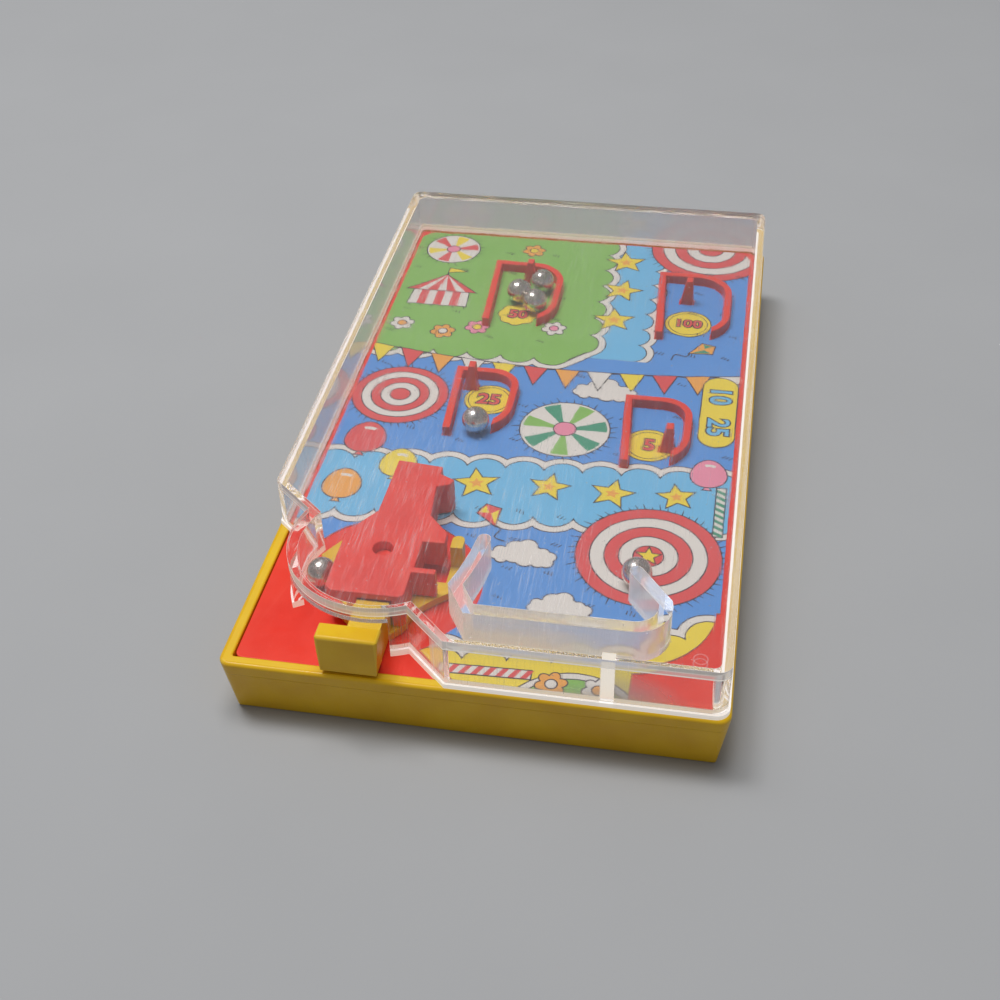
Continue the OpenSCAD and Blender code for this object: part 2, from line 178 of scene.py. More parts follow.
def nearTo(tree, centre, low, high, toLow, toHigh):
    # changes with the distance from a centre seen from above, in mm
    flat = tree.nodes.new("ShaderNodeVectorMath")
    flat.operation = "MULTIPLY"
    flat.inputs[1].default_value = (1, 1, 0)
    away = tree.nodes.new("ShaderNodeVectorMath")
    away.operation = "DISTANCE"
    away.inputs[1].default_value = (centre[0] * mm, centre[1] * mm, 0)
    tree.links.new(objectPlace(tree), flat.inputs[0])
    tree.links.new(flat.outputs[0], away.inputs[0])
    return spread(tree, away.outputs["Value"], low * mm, high * mm, toLow, toHigh)


def insideBox(tree, spot, box):
    # 1 inside the box given in mm, 0 outside it
    inside = 1.0
    for axis, (low, high) in zip("XYZ", box):
        above = combine(tree, spot[axis], low * mm, "GREATER_THAN")
        below = combine(tree, spot[axis], high * mm, "LESS_THAN")
        inside = times(tree, inside, times(tree, above, below))
    return inside


# Finishes: sizes and depths in mm, angles in degrees, strengths from 0 to 1

mouldLook = {
    "cloudSize": 9,
    "speckSize": 0.45,
    "specks": 0.12,
    "sharpEdgeFrom": 0.52,
    "rubbing": 0.4,
    "scratchRuns": ((0.16, 24, 0.34), (0.2, -58, 0.33)),
    "scratchLength": 28,
    "scratchGloss": 0.12,
    "scratchDepth": -0.35,
    "glossSize": 2.6,
    "refraction": 1.5,
    "bleed": 1.2,
    "bleedColour": (1.0, 0.4, 0.15),
    "pebbleSize": 0.35,
    "seamWidth": 0.16,
    "seamStep": 5,
}

plasticLook = {
    "yellow": {"colour": srgb(230, 184, 14), "deep": srgb(218, 168, 8), "rub": srgb(240, 204, 70),
               "gloss": (0.3, 0.46), "pebble": 0.012, "depth": 0.04, "seam": 7.6},
    "red": {"colour": srgb(238, 58, 40), "deep": srgb(228, 48, 32), "rub": srgb(244, 100, 80),
            "gloss": (0.3, 0.44), "pebble": 0.01, "depth": 0.04},
    "pistol": {"colour": srgb(238, 56, 44), "deep": srgb(226, 46, 38), "rub": srgb(242, 108, 94),
               "gloss": (0.36, 0.52), "pebble": 0.014, "depth": 0.3},
}


def moldedPlastic(name, tones, look):
    material, tree, shader = startMaterial(name)
    clouds = spread(tree, noise(tree, look["cloudSize"], 4), 0.35, 0.65)
    specks = spread(tree, noise(tree, look["speckSize"], 2), 0.64, 0.76, 0, look["specks"])
    rubbing = times(tree, sharpEdges(tree, look["sharpEdgeFrom"]), look["rubbing"])
    colour = blendColours(tree, clouds, tones["deep"], tones["colour"])
    for share in (specks, rubbing):
        colour = blendColours(tree, share, colour, tones["rub"])
    tree.links.new(colour, shader.inputs["Base Color"])
    marks = 0.0
    for size, angle, share in look["scratchRuns"]:
        marks = combine(tree, marks, scratches(tree, size, angle, share, look["scratchLength"]))
    gloss = spread(tree, noise(tree, look["glossSize"], 3), 0.3, 0.7, *tones["gloss"])
    gloss = combine(tree, gloss, times(tree, marks, look["scratchGloss"]))
    tree.links.new(gloss, shader.inputs["Roughness"])
    shader.inputs["IOR"].default_value = look["refraction"]
    shader.inputs["Subsurface Weight"].default_value = tones["depth"]
    shader.inputs["Subsurface Radius"].default_value = look["bleedColour"]
    shader.inputs["Subsurface Scale"].default_value = look["bleed"] * mm
    height = combine(tree, noise(tree, look["pebbleSize"], 2), times(tree, marks, look["scratchDepth"]))
    if "seam" in tones:
        # the mould's parting line, a low step all round at one height
        low = (tones["seam"] - look["seamWidth"] / 2) * mm
        high = (tones["seam"] + look["seamWidth"] / 2) * mm
        upward = splitAxes(tree, objectPlace(tree))["Z"]
        height = combine(tree, height, spread(tree, upward, low, high, 0, look["seamStep"]))
    raiseFrom(tree, shader, height, tones["pebble"])
    return material


clearLook = {
    "tint": (0.985, 0.985, 0.99, 1.0),
    "refraction": 1.49,
    "glossSize": 3,
    "gloss": 0.07,
    "rippleSize": 4,
    "ripple": 0.012,
    "filmShare": 0.016,
    "patchSize": 14,
    "hazePatches": 0.009,
    "scratchRuns": ((0.09, 8, 9), (0.1, 66, 13), (0.08, -38, 11), (0.08, 27, 16), (0.1, -80, 7)),
    "scratchShare": 0.34,
    "scratchLength": 90,
    "scratchDepth": -0.1,
    "scratchHaze": 0.32,
    "scuffPlace": (-12, -40),
    "scuffReach": (8, 34),
    "speckSize": 0.55,
    "speckHaze": 0.35,
    "ringMark": (30.6, -59.8),
    "ringInside": (0.8, 0.86),
    "ringOutside": (0.98, 1.04),
    "ringHaze": 0.16,
    "wallHaze": 0.16,
    "frontWallHaze": 0.015,
    # painted highlights on sharp corners and bevels of the cover, fading from the front to the back
    "sharpEdgeFrom": 0.522,
    "paintedEdgeHighlight": 0.85,
    "beadHeight": 1.15,
    # painted highlight on the bead at the walls' foot
    "paintedBeadHighlight": 0.9,
    # front to back fade of the painted highlights and of the wall haze
    "frontFadeFrom": -44,
    "frontFadeTo": -20,
    "lessBehind": 0.25,
    "sheet": 1.5,
    # painted highlight bands at the top sheet's edge and foot line
    "paintedSheetEdgeHighlight": (0.5, 0.2),
    "paintedSheetLineHighlight": (0.9, 0.1),
    "sheetLineWidth": 0.16,
    # strength of the painted glow
    "paintedEdgeGlow": 0.42,
    "guideBox": ((-5, 25), (-60.2, -37), (9, 16.95)),
    "guideFrost": 0.1,
    # film on the guide and the rib below: partly haze, partly painted light
    "guideHazeAndHighlight": 0.34,
    "paintedGuideGlow": 0.6,
    "ribBox": ((17.85, 19.75), (-62.5, -59), (10, 16.95)),
    "ribHazeAndPaintedLight": 0.34,
    "filmColour": srgb(240, 236, 238),
    "filmGloss": 0.45,
    # colour of the painted glow
    "paintedGlowColour": srgb(246, 236, 216),
    "shadowTint": (0.93, 0.93, 0.93, 1.0),
}


def coverScratches(tree, look):
    # runs of fine scratches, each in patches of its own
    marks = 0.0
    for size, angle, zone in look["scratchRuns"]:
        run = scratches(tree, size, angle, look["scratchShare"], look["scratchLength"])
        marks = combine(tree, marks, times(tree, run, spread(tree, noise(tree, zone, 2), 0.46, 0.6)))
    return marks


def coverFilmAndPaintedGlow(tree, look, marks, inGuide):
    # where the whitish film lies, partly haze and partly painted highlights, and a painted glow at the edges,
    # bead, guide and rib, as if the plastic carried light there
    coordinates = tree.nodes.new("ShaderNodeTexCoord")
    spot = splitAxes(tree, coordinates.outputs["Object"])
    facing = splitAxes(tree, coordinates.outputs["Normal"])
    slope = combine(tree, facing["Z"], 0, "ABSOLUTE")
    wall = spread(tree, slope, 0.3, 0.8, 1.0, 0.0)
    slanted = between(tree, slope, 0.3, 0.86, 0.1)

    def frontToBack(atFront, atBack):
        return spread(tree, spot["Y"], look["frontFadeFrom"] * mm, look["frontFadeTo"] * mm, atFront, atBack)

    # painted highlight bands: the top sheet's edge and foot line, and the bead that the walls stand on
    sheetFoot = (coverTop - look["sheet"]) * mm
    halfLine = look["sheetLineWidth"] / 2 * mm
    rim = times(tree, wall, spread(tree, spot["Z"], sheetFoot - 0.2 * mm, sheetFoot + 0.1 * mm))
    rim = times(tree, rim, frontToBack(*look["paintedSheetEdgeHighlight"]))
    line = between(tree, spot["Z"], sheetFoot - halfLine, sheetFoot + halfLine, 0.05 * mm)
    line = times(tree, times(tree, line, wall), frontToBack(*look["paintedSheetLineHighlight"]))
    beadTop = (plateTop + look["beadHeight"]) * mm
    bead = spread(tree, spot["Z"], beadTop - 0.1 * mm, beadTop + 0.1 * mm, look["paintedBeadHighlight"], 0.0)
    # haze, scratches, specks and a ring mark on the top, film on walls, guide and rib, and painted highlights
    # on the corners and bevels, stronger at the front
    patches = spread(tree, noise(tree, look["patchSize"], 5, 0.6), 0.38, 0.68)
    scuffed = nearTo(tree, look["scuffPlace"], *look["scuffReach"], look["scratchHaze"],
                     look["scratchHaze"] * look["lessBehind"])
    specks = spread(tree, noise(tree, look["speckSize"], 1), 0.775, 0.79, 0.0, look["speckHaze"])
    ring = times(tree, nearTo(tree, look["ringMark"], *look["ringInside"], 0.0, 1.0),
                 nearTo(tree, look["ringMark"], *look["ringOutside"], look["ringHaze"], 0.0))
    topside = combine(tree, facing["Z"], 0.9, "GREATER_THAN")
    inRib = insideBox(tree, spot, look["ribBox"])
    # painted highlights on the walls' sharp corners and on the slanted bevels
    corners = combine(tree, times(tree, sharpEdges(tree, look["sharpEdgeFrom"]), wall), slanted, "MAXIMUM")
    # film share: real haze, scratches and wall film, plus the painted highlights
    filmShare = look["filmShare"]
    for part, amount in ((patches, look["hazePatches"]), (specks, 1.0), (marks, scuffed), (ring, topside),
                         (wall, frontToBack(look["frontWallHaze"], look["wallHaze"])),
                         (bead, 1.0), (rim, 1.0), (line, 1.0),
                         (inGuide, look["guideHazeAndHighlight"]), (inRib, look["ribHazeAndPaintedLight"]),
                         (corners, frontToBack(look["paintedEdgeHighlight"], look["paintedEdgeHighlight"] * look["lessBehind"]))):
        filmShare = combine(tree, filmShare, times(tree, part, amount))
    # painted glow: emission on guide, rib, bead, sheet lines and bevels, though the plastic is no lamp
    paintedGlow = combine(tree, times(tree, inGuide, look["paintedGuideGlow"]), inRib)
    for part in (combine(tree, bead, rim), line, slanted):
        paintedGlow = combine(tree, paintedGlow, part, "MAXIMUM")
    return combine(tree, filmShare, 1.0, "MINIMUM"), times(tree, paintedGlow, look["paintedEdgeGlow"])


def clearStyrene(name, look):
    material, tree, shader = startMaterial(name)
    shader.inputs["Base Color"].default_value = look["tint"]
    shader.inputs["Transmission Weight"].default_value = 1.0
    shader.inputs["IOR"].default_value = look["refraction"]
    marks = coverScratches(tree, look)
    inGuide = insideBox(tree, splitAxes(tree, objectPlace(tree)), look["guideBox"])
    gloss = spread(tree, noise(tree, look["glossSize"], 3), 0.3, 0.7, 0.0, look["gloss"])
    gloss = combine(tree, gloss, times(tree, inGuide, look["guideFrost"]))
    tree.links.new(gloss, shader.inputs["Roughness"])
    height = combine(tree, noise(tree, look["rippleSize"], 2), times(tree, marks, look["scratchDepth"]))
    raiseFrom(tree, shader, height, look["ripple"])
    filmShare, paintedGlow = coverFilmAndPaintedGlow(tree, look, marks, inGuide)
    film = tree.nodes.new("ShaderNodeBsdfPrincipled")
    film.inputs["Base Color"].default_value = look["filmColour"]
    film.inputs["Roughness"].default_value = look["filmGloss"]
    # painted glow from the film's emission
    film.inputs["Emission Color"].default_value = look["paintedGlowColour"]
    tree.links.new(paintedGlow, film.inputs["Emission Strength"])
    material.cycles.emission_sampling = "NONE"
    # the glass blended with the film of haze and painted highlights
    withFilm = blendShaders(tree, filmShare, shader.outputs[0], film.outputs[0])
    # lamps and sky shine straight through the plastic instead of being stopped by it
    path = tree.nodes.new("ShaderNodeLightPath")
    light = combine(tree, path.outputs["Is Shadow Ray"], path.outputs["Is Diffuse Ray"], "MAXIMUM")
    through = tree.nodes.new("ShaderNodeBsdfTransparent")
    through.inputs["Color"].default_value = look["shadowTint"]
    lit = blendShaders(tree, light, withFilm, through.outputs[0])
    tree.links.new(lit, tree.nodes["Material Output"].inputs["Surface"])
    return material


paperLook = {
    "paler": 1.12,
    "lift": 0.03,
    "grainSize": 0.16,
    "grain": 0.7,
    "castSize": 6,
    "cast": 0.35,
    "glossSize": 1.2,
    "gloss": (0.36, 0.5),
    "toothSize": 0.12,
    "tooth": 0.004,
}


def printedPaper(name, colour, look):
    # ink on coated card: fine paper grain, slight unevenness of the ink
    material, tree, shader = startMaterial(name)
    pale = tuple(min(1.0, channel * look["paler"] + look["lift"]) for channel in colour[:3]) + (1.0,)
    grain = spread(tree, noise(tree, look["grainSize"], 2), 0.4, 0.62, 0, look["grain"])
    cast = spread(tree, noise(tree, look["castSize"], 3), 0.35, 0.65, 0, look["cast"])
    shade = blendColours(tree, cast, colour, pale)
    tree.links.new(blendColours(tree, grain, colour, shade), shader.inputs["Base Color"])
    gloss = spread(tree, noise(tree, look["glossSize"], 2), 0.3, 0.7, *look["gloss"])
    tree.links.new(gloss, shader.inputs["Roughness"])
    raiseFrom(tree, shader, noise(tree, look["toothSize"], 2), look["tooth"])
    return material


steelLook = {
    "dark": srgb(206, 196, 188),
    "light": srgb(232, 226, 220),
    "toneSize": 1.4,
    "glossSize": 0.8,
    "gloss": (0.16, 0.28),
    "scratchRun": (0.06, 30, 0.4),
    "scratchLength": 28,
    "scratchGloss": 0.1,
    "dentSize": 0.25,
    "dent": 0.002,
}


def polishedSteel(name, look):
    material, tree, shader = startMaterial(name)
    tone = spread(tree, noise(tree, look["toneSize"], 3), 0.35, 0.65)
    tree.links.new(blendColours(tree, tone, look["dark"], look["light"]), shader.inputs["Base Color"])
    shader.inputs["Metallic"].default_value = 1.0
    marks = scratches(tree, *look["scratchRun"], look["scratchLength"])
    gloss = spread(tree, noise(tree, look["glossSize"], 2), 0.3, 0.7, *look["gloss"])
    gloss = combine(tree, gloss, times(tree, marks, look["scratchGloss"]))
    tree.links.new(gloss, shader.inputs["Roughness"])
    raiseFrom(tree, shader, noise(tree, look["dentSize"], 2), look["dent"])
    return material


yellowPlastic = moldedPlastic("yellowPlastic", plasticLook["yellow"], mouldLook)
redPlastic = moldedPlastic("redPlastic", plasticLook["red"], mouldLook)
pistolPlastic = moldedPlastic("pistolPlastic", plasticLook["pistol"], mouldLook)
clearPlastic = clearStyrene("clearPlastic", clearLook)
ballSteel = polishedSteel("ballSteel", steelLook)
springSteel = polishedSteel("springSteel", steelLook)
print("finishes made")


def dress(node, material):
    mesh = nodes[node].data
    mesh.materials.clear()
    mesh.materials.append(material)


edgeLook = {
    # width of the rounded edge in mm
    "tray": 0.3,
    "playfield_plate": 0.14,
    "clear_cover": 0.16,
    "pistol": 0.2,
    "trigger": 0.28,
}

rimLook = {
    "tray": {"rounding": 0.65, "band": 1.2, "segments": 5},
}

softenLook = {
    "joinReach": 0.002,
    "flatBelow": 0.6,
    "sharpAbove": 32,
    "segments": 2,
}


def roundRim(node, look):
    # wider rounding along the outer edge of the rim
    piece = nodes[node]
    low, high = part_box(node)
    group = piece.vertex_groups.new(name="rim")
    for vertex in piece.data.vertices:
        spot = vertex.co
        inset = min(spot.x - low.x, high.x - spot.x, spot.y - low.y, high.y - spot.y)
        if high.z - spot.z < 0.01 * mm and inset < look["band"] * mm:
            group.add([vertex.index], 1.0, "REPLACE")
    rounding = piece.modifiers.new("roundedRim", "BEVEL")
    rounding.width = look["rounding"] * mm
    rounding.segments = look["segments"]
    rounding.limit_method = "VGROUP"
    rounding.vertex_group = group.name


def softenEdges(node, width, look):
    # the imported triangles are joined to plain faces, then every sharp edge is rounded
    piece = nodes[node]
    weld = piece.modifiers.new("joinFaces", "WELD")
    weld.merge_threshold = look["joinReach"] * mm
    flat = piece.modifiers.new("plainFaces", "DECIMATE")
    flat.decimate_type = "DISSOLVE"
    flat.angle_limit = math.radians(look["flatBelow"])
    if node in rimLook:
        roundRim(node, rimLook[node])
    bevel = piece.modifiers.new("roundedEdges", "BEVEL")
    bevel.width = width * mm
    bevel.segments = look["segments"]
    bevel.limit_method = "ANGLE"
    bevel.angle_limit = math.radians(look["sharpAbove"])
    bevel.harden_normals = False
    smooth = piece.modifiers.new("evenShading", "WEIGHTED_NORMAL")
    smooth.keep_sharp = True
    if "custom_normal" in piece.data.attributes:
        piece.data.attributes.remove(piece.data.attributes["custom_normal"])
    piece.data.polygons.foreach_set("use_smooth", [True] * len(piece.data.polygons))


for node, width in edgeLook.items():
    softenEdges(node, width, softenLook)
dress("tray", yellowPlastic)
dress("trigger", yellowPlastic)
dress("playfield_plate", redPlastic)
dress("pistol", pistolPlastic)
dress("clear_cover", clearPlastic)
for node in nodes:
    if node.startswith("ball_"):
        dress(node, ballSteel)
print("moulded pieces dressed")

# Trigger spring

springLook = {
    "wire": 0.36,
    "gap": 1.02,
    "stepsPerTurn": 20,
    "turns": 6.5,
    "deadTurns": 1.1,
    "pressed": 0.7,
}


def makeSpring(look):
    # round wire with closed end turns, in place of the plain coil
    low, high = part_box("trigger_spring")
    middle = (low + high) / 2
    thick = look["wire"] * mm
    radius = (high.x - low.x - thick) / 2
    first = low.y + thick / 2
    length = high.y - low.y - thick
    dead = look["deadTurns"]
    turns = look["turns"] + 2 * dead
    close = thick * look["gap"]
    rise = (length - 2 * dead * close) / look["turns"]
    wire = bpy.data.curves.new("springWire", "CURVE")
    wire.dimensions = "3D"
    wire.bevel_depth = thick / 2
    wire.bevel_resolution = 3
    wire.use_fill_caps = True
    line = wire.splines.new("POLY")
    count = int(turns * look["stepsPerTurn"])
    line.points.add(count)
    for i in range(count + 1):
        turn = turns * i / count
        along = min(turn, dead) * close + max(0, min(turn - dead, look["turns"])) * rise
        along += max(0, turn - dead - look["turns"]) * close
        angle = math.tau * turn
        line.points[i].co = (middle.x + radius * math.cos(angle), first + along,
                             middle.z + radius * math.sin(angle), 1)
    model = bpy.data.objects.new("springModel", wire)
    bpy.context.scene.collection.objects.link(model)
    bpy.context.view_layer.update()
    mesh = bpy.data.meshes.new_from_object(model.evaluated_get(bpy.context.evaluated_depsgraph_get()))
    bpy.data.objects.remove(model)
    coil = bpy.data.objects.new("coilSpring", mesh)
    bpy.context.scene.collection.objects.link(coil)
    mesh.materials.clear()
    mesh.materials.append(springSteel)
    for face in mesh.polygons:
        face.use_smooth = True
    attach(coil, "pistol")
    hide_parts("trigger_spring")
    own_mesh(coil)


makeSpring(springLook)
print("spring made")

# Printed playfield: thin sheets of ink stacked on the card, cut to the card's own outline

inkLook = {
    "sheet": 0.005,
    "line": 0.2,
    "strokeWidth": 0.22,
    "strokeLength": 1.6,
    "tickLength": 0.75,
    "string": 0.4,
    "tail": 0.24,
    "card": srgb(238, 234, 226),
    "colours": {
        "inkBlue": srgb(88, 148, 218),
        "inkSky": srgb(112, 186, 228),
        "inkGreen": srgb(134, 184, 88),
        "inkYellow": srgb(240, 212, 62),
        "inkRed": srgb(222, 78, 78),
        "inkOrange": srgb(238, 164, 74),
        "inkPink": srgb(236, 142, 166),
        "inkJade": srgb(66, 148, 116),
        "inkWhite": srgb(228, 220, 212),
        "inkDark": srgb(62, 50, 60),
    },
}
inkMeshes = {name: bmesh.new() for name in inkLook["colours"]}
numberShapes = {}
inkMaterials = {name: printedPaper(name, colour, paperLook) for name, colour in inkLook["colours"].items()}


def makeStencil():
    # a tall copy of the card, and the object that cuts one shape after the other with it
    cutter = bpy.data.objects.new("cardCutter", nodes["printed_card"].data.copy())
    middle = (cardTop + plateTop) / 2 * mm
    for vertex in cutter.data.vertices:
        vertex.co.z = plateTop * mm - mm if vertex.co.z < middle else cardTop * mm + mm
    weld = cutter.modifiers.new("joinFaces", "WELD")
    weld.merge_threshold = softenLook["joinReach"] * mm
    stencil = bpy.data.objects.new("inkStencil", bpy.data.meshes.new("inkStencil"))
    trim = stencil.modifiers.new("trim", "BOOLEAN")
    trim.operation = "INTERSECT"
    trim.solver = "EXACT"
    trim.object = cutter
    for piece in (cutter, stencil):
        bpy.context.scene.collection.objects.link(piece)
    return cutter, stencil


cardCutter, inkStencil = makeStencil()


def inkAll(colour, outlines, sheet):
    # flat shapes of ink that don't touch, as closed sheets at one height in the stack, cut by the card
    low = (cardTop + (sheet - 1) * inkLook["sheet"]) * mm
    high = (cardTop + sheet * inkLook["sheet"]) * mm
    shape = bmesh.new()
    for points in outlines:
        points = [point for i, point in enumerate(points) if math.dist(point, points[i - 1]) > 0.01]
        under = [shape.verts.new((x * mm, y * mm, low)) for x, y in points]
        over = [shape.verts.new((x * mm, y * mm, high)) for x, y in points]
        shape.faces.new(over)
        shape.faces.new(under[::-1])
        for i in range(len(points)):
            following = (i + 1) % len(points)
            shape.faces.new((under[i], under[following], over[following], over[i]))
    bmesh.ops.recalc_face_normals(shape, faces=shape.faces)
    shape.to_mesh(inkStencil.data)
    shape.free()
    inkStencil.data.update()
    bpy.context.view_layer.update()
    trimmed = inkStencil.evaluated_get(bpy.context.evaluated_depsgraph_get())
    inkMeshes[colour].from_mesh(trimmed.to_mesh())


def ink(colour, points, sheet):
    inkAll(colour, [points], sheet)


def arc(cx, cy, radius, first, last, count):
    angles = [math.radians(first + (last - first) * i / count) for i in range(count + 1)]
    return [(cx + radius * math.cos(a), cy + radius * math.sin(a)) for a in angles]


def disc(cx, cy, radius):
    return arc(cx, cy, radius, 0, 360, 56)[:-1]


def grow(points, amount):
    # outline moved out by amount along the mean of the two sides at each corner
    moved = []
    for i, (x, y) in enumerate(points):
        before = Vector(points[i - 1])
        here = Vector((x, y))
        after = Vector(points[(i + 1) % len(points)])
        first = (here - before).normalized()
        second = (after - here).normalized()
        normal = Vector((first.y + second.y, -first.x - second.x))
        normal.normalize()
        across = max(0.35, normal.dot(Vector((first.y, -first.x))))
        moved.append(tuple(here + normal * amount / across))
    return moved


def outlined(colour, points, sheet):
    # points run anticlockwise: a dark shape a little larger lies under the coloured one
    ink("inkDark", grow(points, inkLook["line"]), sheet)
    ink(colour, points, sheet + 1)


def star(cx, cy, radius, turn=0):
    arms = 5
    inner = 0.45
    corners = []
    for i in range(2 * arms):
        reach = radius if i % 2 == 0 else radius * inner
        angle = math.radians(90 + turn + 180 * i / arms)
        corners.append((cx + reach * math.cos(angle), cy + reach * math.sin(angle)))
    return corners


def turned(points, cx, cy, angle):
    c = math.cos(math.radians(angle))
    s = math.sin(math.radians(angle))
    return [(cx + (x - cx) * c - (y - cy) * s, cy + (x - cx) * s + (y - cy) * c) for x, y in points]


def penStroke(x, y, angle, length):
    # thin tapering stroke that starts at x, y
    along = Vector((math.cos(angle), math.sin(angle))) * length
    side = Vector((-along.y, along.x)).normalized() * inkLook["strokeWidth"] / 2
    start = Vector((x, y))
    end = start + along
    return [tuple(start - side), tuple(end - side * 0.4), tuple(end + side * 0.4), tuple(start + side)]


def hatchRound(cx, cy, radius, count, sheet):
    # short pen strokes standing off a round motif, uneven in length
    strokes = []
    for i in range(count):
        angle = math.tau * i / count
        length = inkLook["strokeLength"] * (0.7 + 0.3 * math.sin(i * 2.4))
        strokes.append(penStroke(cx + radius * math.cos(angle), cy + radius * math.sin(angle),
                                 angle + 0.25, length))
    inkAll("inkDark", strokes, sheet)


def penTicks(places, sheet):
    # small groups of three pen strokes that break up the plain fields
    strokes = []
    for i, (x, y) in enumerate(places):
        lean = math.radians(60 + 25 * math.sin(i * 1.7))
        for k in range(3):
            length = inkLook["tickLength"] + 0.25 * math.sin(i + k)
            strokes.append(penStroke(x + 0.55 * k, y - 0.2 * k, lean, length))
    inkAll("inkDark", strokes, sheet)


def targetRings(cx, cy, radius, colours, sheet):
    # rings from the rim inwards, each a smaller disc on the last
    hatchesPerMm = 5.5
    step = radius / len(colours)
    hatchRound(cx, cy, radius, int(radius * hatchesPerMm), sheet)
    for i, colour in enumerate(colours):
        outlined(colour, disc(cx, cy, radius - i * step), sheet + 2 * i)


def scallops(first, last, count, radius):
    # edge of round lobes from first to last, bulging to the right of that direction
    start = Vector(first)
    way = Vector(last) - start
    pitch = way.length / count
    along = way.normalized()
    heading = math.degrees(math.atan2(along.y, along.x))
    cutOff = math.degrees(math.acos(min(1.0, pitch / 2 / radius)))
    points = []
    for i in range(count):
        centre = start + along * pitch * (i + 0.5)
        points += arc(centre.x, centre.y, radius, heading - 180 + cutOff, heading - cutOff, 9)
    return points


def scallopField(colour, edges, far, sheet):
    # a field of colour with white scalloped rims; far are its corners away from the rims
    rims = (("inkDark", -0.2, 0), ("inkWhite", 0, 1), ("inkDark", 1.1, 2), (colour, 1.3, 3))
    for tone, inset, level in rims:
        outline = []
        for first, last, count in edges:
            pitch = (Vector(last) - Vector(first)).length / count
            outline += scallops(first, last, count, pitch * 0.5 + 1.5 - inset)
        ink(tone, outline + far, sheet + level)


def balloon(cx, cy, size, colour, sheet):
    body = [(cx + size * math.cos(a) * (1 - 0.16 * math.sin(a - 0.2)), cy + size * 1.22 * math.sin(a))
            for a in (math.tau * i / 36 for i in range(36))]
    knot = [(cx - size * 0.2, cy - size * 1.48), (cx + size * 0.2, cy - size * 1.48), (cx, cy - size * 1.15)]
    outlined(colour, knot, sheet)
    outlined(colour, body, sheet + 2)
    ink("inkWhite", arc(cx + size * 0.06, cy + size * 0.12, size * 0.72, 60, 115, 6)
        + arc(cx + size * 0.06, cy + size * 0.12, size * 0.5, 115, 60, 6), sheet + 4)


def stroke(points, width, colour, sheet):
    # a drawn line of even width through the points
    left = []
    right = []
    for i, (x, y) in enumerate(points):
        before = Vector(points[max(i - 1, 0)])
        after = Vector(points[min(i + 1, len(points) - 1)])
        side = (after - before).normalized()
        left.append((x - side.y * width / 2, y + side.x * width / 2))
        right.append((x + side.y * width / 2, y - side.x * width / 2))
    ink(colour, right + left[::-1], sheet)


def lobes(cx, cy, radius, count, depth=0.22, turn=0):
    # round outline with lobes, for flowers and clouds
    points = []
    for i in range(count * 8):
        angle = math.tau * i / (count * 8)
        reach = radius * (1 - depth + depth * abs(math.cos(angle * count / 2)))
        points.append((cx + reach * math.cos(angle + turn), cy + reach * math.sin(angle + turn)))
    return points


def flower(cx, cy, radius, colour, heart, sheet):
    outlined(colour, lobes(cx, cy, radius, 6, 0.34, 0.3), sheet)
    outlined(heart, disc(cx, cy, radius * 0.34), sheet + 2)


def stripedPole(first, last, width, count, colours, sheet):
    # slanting stripes along a straight band
    start = Vector(first)
    way = Vector(last) - start
    along = way.normalized()
    side = Vector((-along.y, along.x)) * width / 2
    pitch = way.length / count
    slant = along * width * 0.6
    outlined(colours[0], [tuple(start - side), tuple(start + way - side), tuple(start + way + side),
                          tuple(start + side)], sheet)
    for i in range(count):
        low = start + along * pitch * (i + 0.2)
        high = low + along * pitch * 0.5
        ink(colours[1], [tuple(low - side), tuple(high - side), tuple(high + side + slant),
                         tuple(low + side + slant)], sheet + 2)


def cloud(cx, cy, size, sheet):
    # three puffs, the outlines of all of them under the white
    puffs = [lobes(cx, cy, size, 5, 0.2), lobes(cx + size, cy - size * 0.3, size * 0.7, 5, 0.2, 0.4),
             lobes(cx - size, cy - size * 0.25, size * 0.62, 5, 0.2, 0.9)]
    for i, puff in enumerate(puffs):
        ink("inkDark", grow(puff, inkLook["line"]), sheet + i)
    for i, puff in enumerate(puffs):
        ink("inkWhite", puff, sheet + 3 + i)


def tent(cx, cy, width, height, colours, sheet):
    # striped round tent with a pointed roof and a flag
    half = width / 2
    wall = [(cx - half * 0.86, cy), (cx + half * 0.86, cy), (cx + half * 0.8, cy + height * 0.45),
            (cx - half * 0.8, cy + height * 0.45)]
    outlined(colours[0], wall, sheet)
    pitch = half * 1.66 / 7
    foot = cx - half * 0.83
    head = cx - half * 0.81
    stripes = []
    for i in range(3):
        first = pitch * (2 * i + 1)
        last = pitch * (2 * i + 2)
        stripes.append([(foot + first, cy + 0.05), (foot + last, cy + 0.05),
                        (head + last * 0.98, cy + height * 0.45), (head + first * 0.98, cy + height * 0.45)])
    inkAll(colours[1], stripes, sheet + 2)
    eaves = cy + height * 0.42
    peak = (cx, cy + height * 0.9)
    mast = (cx, cy + height * 1.12)
    stroke([peak, mast], 0.3, "inkDark", sheet)
    flag = [mast, (cx, cy + height * 0.98), (cx + half * 0.5, cy + height * 1.05)]
    outlined(colours[2], flag, sheet + 1)
    outlined(colours[1], [(cx - half, eaves), (cx + half, eaves), peak], sheet + 3)
    for i in (-2, 0, 2):
        panel = [(cx + half * (i - 0.5) / 3.5, eaves), (cx + half * (i + 0.5) / 3.5, eaves), peak]
        ink(colours[0], grow(panel, -0.04), sheet + 5)
    grass = [penStroke(cx - half * 0.8 + i * half * 0.32, cy - 0.2, -1.2, 0.8) for i in range(6)]
    inkAll("inkDark", grass, sheet)


